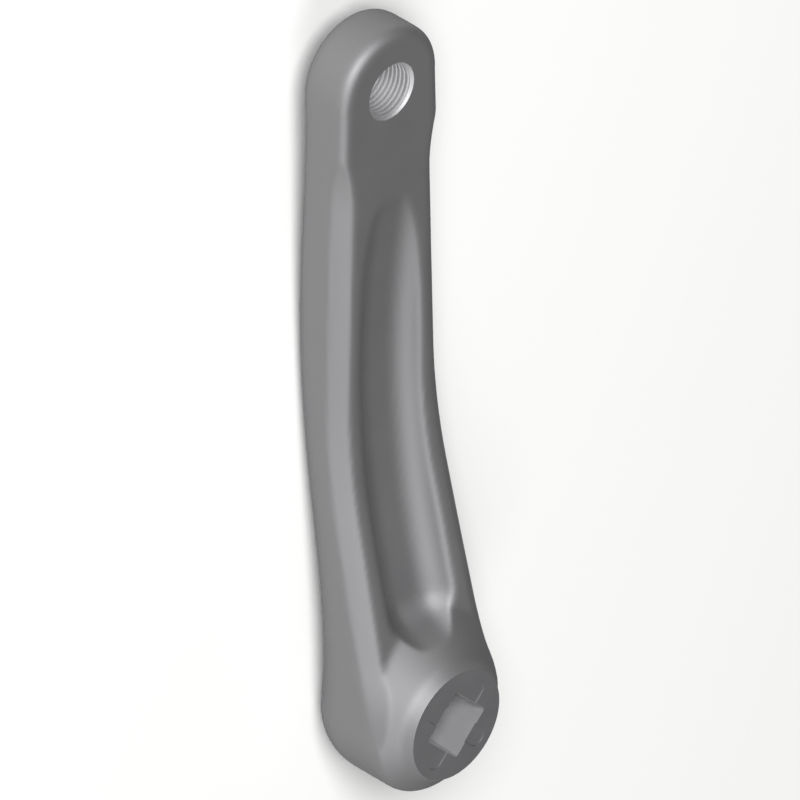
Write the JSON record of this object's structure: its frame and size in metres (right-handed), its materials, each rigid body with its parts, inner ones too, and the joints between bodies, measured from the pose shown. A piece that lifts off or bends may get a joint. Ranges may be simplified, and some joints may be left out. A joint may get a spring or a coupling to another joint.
{
  "type": "bicycle crank arm",
  "caption": "Forged crank arm with a tapered square socket in a flared boss, a long pocket, bevelled edges and a threaded pedal eye.",
  "frame": {"origin": "centre of the spindle socket's mouth, on the boss's inner face", "axes": "+X along the arm from the spindle to the pedal; +Y across the arm; +Z along the spindle axis, out of the arm's inner side, towards the bicycle's frame"},
  "size_m": [0.2063, 0.0406, 0.0376],
  "materials": {
    "forged_aluminium": "fine blasted and clear anodised forging, with turned bores and faces"
  },
  "bodies": {
    "root": {"crank_arm": "forged_aluminium"}
  },
  "joints": []
}
